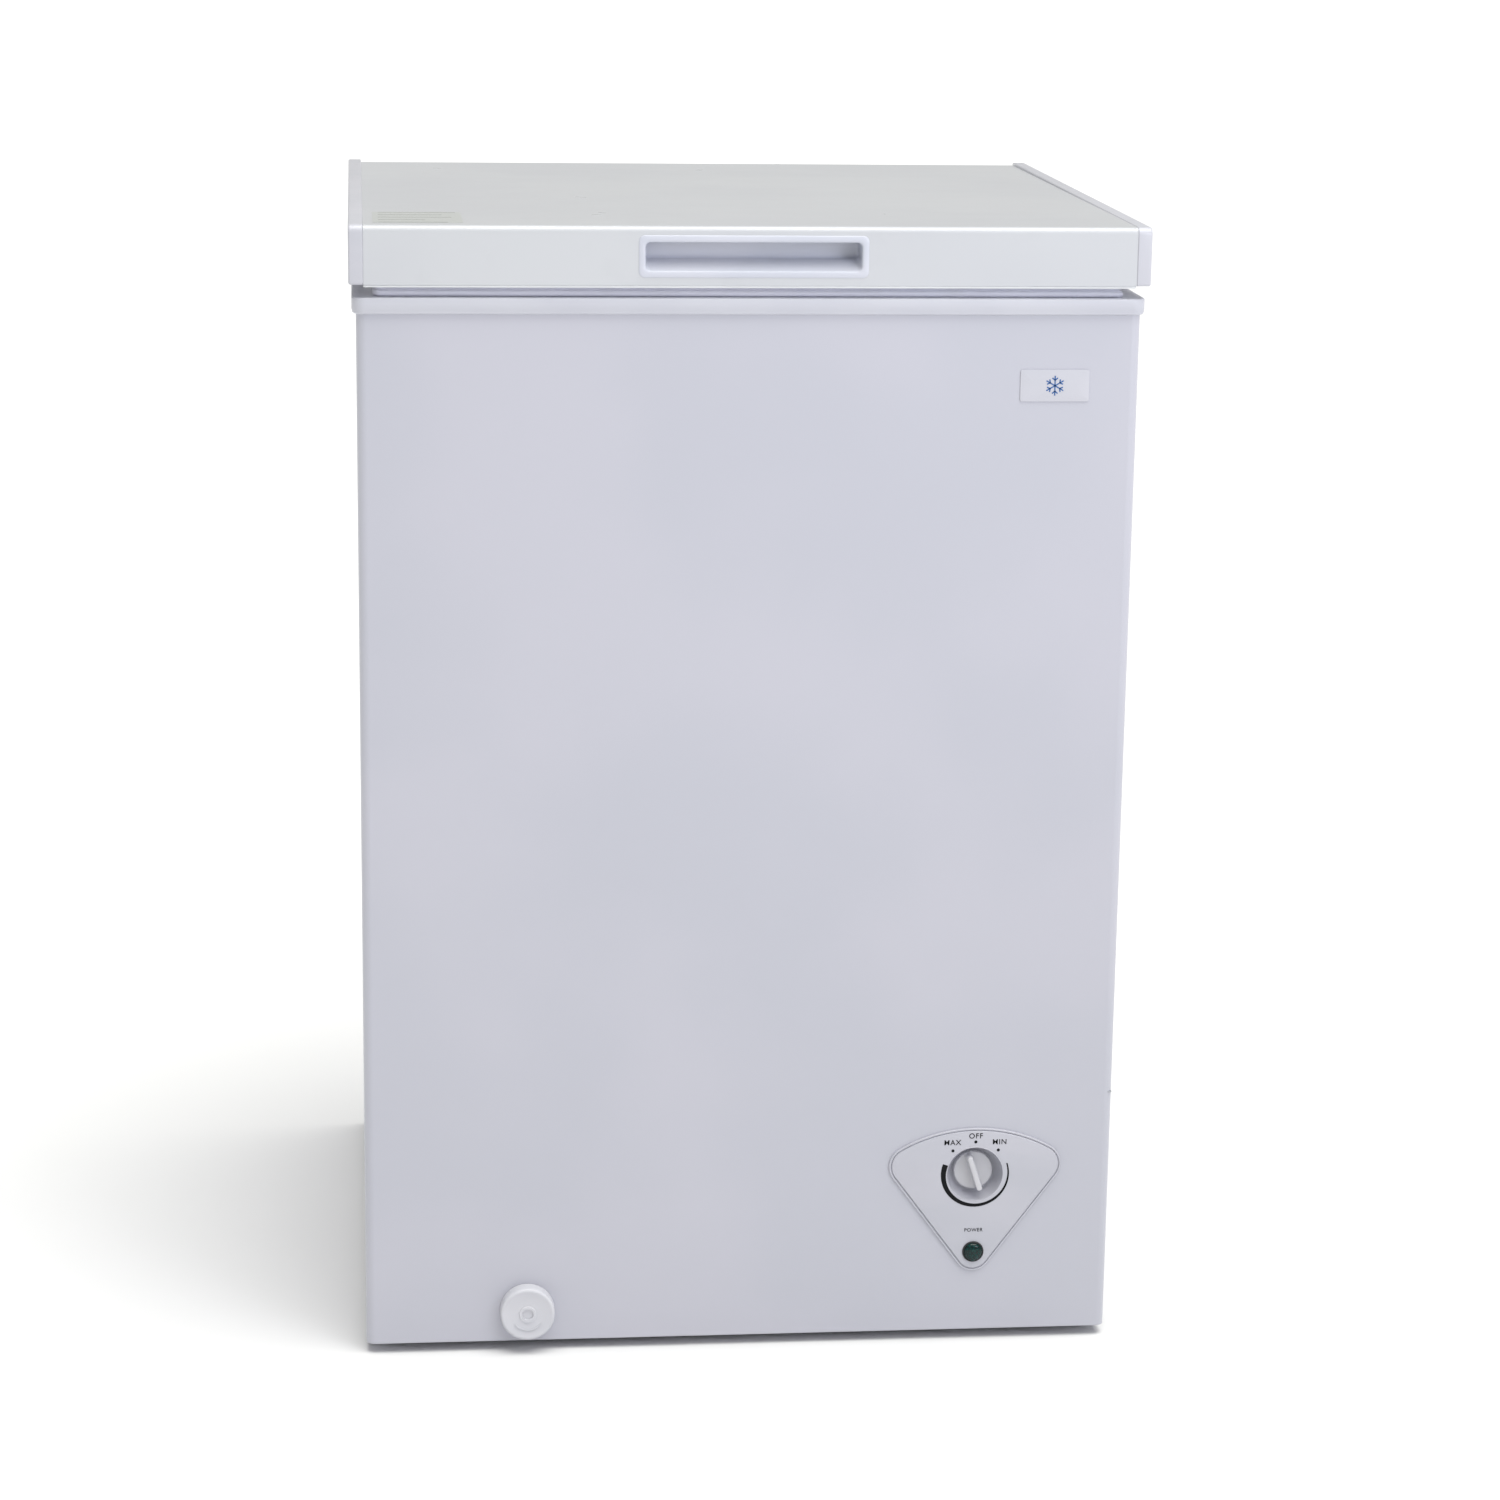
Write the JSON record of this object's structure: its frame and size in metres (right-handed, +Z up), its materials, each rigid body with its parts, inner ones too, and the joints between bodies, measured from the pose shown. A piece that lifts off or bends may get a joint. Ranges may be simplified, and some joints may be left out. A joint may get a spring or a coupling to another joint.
{
  "type": "chest freezer",
  "caption": "Small chest freezer with a hinged lid, recessed handle, front thermostat knob and power lamp, defrost drain and hanging wire basket.",
  "frame": {"origin": "on the floor under the middle of the object's box", "axes": "+X to the right of someone facing the front, -Y out of the front, +Z up"},
  "size_m": [0.574, 0.562, 0.85],
  "materials": {
    "white_steel": "gloss",
    "white_plastic": "satin",
    "liner_aluminium": "satin",
    "zinc_steel": "satin",
    "foam": "matte",
    "coil_aluminium": "satin",
    "copper": "satin",
    "black_paint": "satin",
    "motor_iron": "matte",
    "black_plastic": "matte",
    "black_rubber": "matte",
    "grey_rubber": "matte",
    "gasket_vinyl": "matte",
    "magnet": "matte",
    "green_lens": "polished",
    "label_film": "satin",
    "coated_wire": "gloss"
  },
  "bodies": {
    "cabinet": {"outer_wrapper": "white_steel", "back_panel": "white_steel", "base_pan": "zinc_steel", "top_collar": "white_plastic", "inner_liner": "liner_aluminium", "cabinet_foam": "foam", "compartment_partition": "zinc_steel", "evaporator_coil": "coil_aluminium", "condenser_coil": "copper", "compressor_shell": "black_paint", "compressor_motor": "motor_iron", "compressor_plate": "black_paint", "compressor_grommets": "black_rubber", "compressor_bolts": "zinc_steel", "relay_cover": "black_plastic", "filter_drier": "copper", "discharge_pipe": "copper", "suction_pipe": "copper", "capillary_tube": "copper", "thermostat_body": "zinc_steel", "thermostat_bulb": "copper", "lamp_housing": "black_plastic", "indicator_lens": "green_lens", "wiring_harness": "black_plastic", "control_panel": "white_plastic", "badge_plate": "white_plastic", "drain_bushing": "white_plastic", "drain_pipe": "white_plastic", "drain_fitting": "white_plastic", "rear_cover": "zinc_steel", "rear_cover_screws": "zinc_steel", "cord_gland": "black_plastic", "feet": "grey_rubber", "foot_screws": "zinc_steel", "hinge_bases": "zinc_steel", "hinge_base_screws": "zinc_steel", "hinge_pins": "zinc_steel"},
    "lid": {"lid_outer_panel": "white_steel", "lid_end_cap_left": "white_plastic", "lid_end_cap_right": "white_plastic", "lid_handle_insert": "white_plastic", "lid_inner_panel": "white_plastic", "lid_foam": "foam", "lid_gasket": "gasket_vinyl", "gasket_magnets": "magnet", "hinge_arms": "zinc_steel", "hinge_arm_screws": "zinc_steel", "lid_label": "label_film"},
    "knob": {"thermostat_knob": "white_plastic", "thermostat_shaft": "zinc_steel"},
    "spout": {"drain_spout": "white_plastic"},
    "outer_cap": {"drain_cap": "white_plastic"},
    "inner_plug": {"inner_drain_plug": "grey_rubber"},
    "basket": {"basket_rim": "coated_wire", "basket_side_grids": "coated_wire", "basket_floor_grid": "coated_wire"}
  },
  "joints": [
    {"name": "lid_hinge", "type": "hinge", "parent": "cabinet", "child": "lid", "pos_m": [0, 0.275, 0.801], "axis": [-1, 0, 0], "range_deg": [0, 75]},
    {"name": "knob_turn", "type": "hinge", "parent": "cabinet", "child": "knob", "pos_m": [0.178, -0.269, 0.1336], "axis": [0, 1, 0], "range_deg": [0, 330]},
    {"name": "drain_pull", "type": "slide", "parent": "cabinet", "child": "spout", "axis": [0, -1, 0], "range_m": [0, 0.02]},
    {"name": "drain_cap_turn", "type": "hinge", "parent": "spout", "child": "outer_cap", "pos_m": [-0.161, -0.269, 0.033], "axis": [0, 1, 0], "range_deg": [0, 180]},
    {"name": "drain_plug_lift", "type": "slide", "parent": "cabinet", "child": "inner_plug", "axis": [0, 0, 1], "range_m": [0, 0.03]},
    {"name": "basket_slide", "type": "slide", "parent": "cabinet", "child": "basket", "axis": [-1, 0, 0], "range_m": [0, 0.22]}
  ]
}
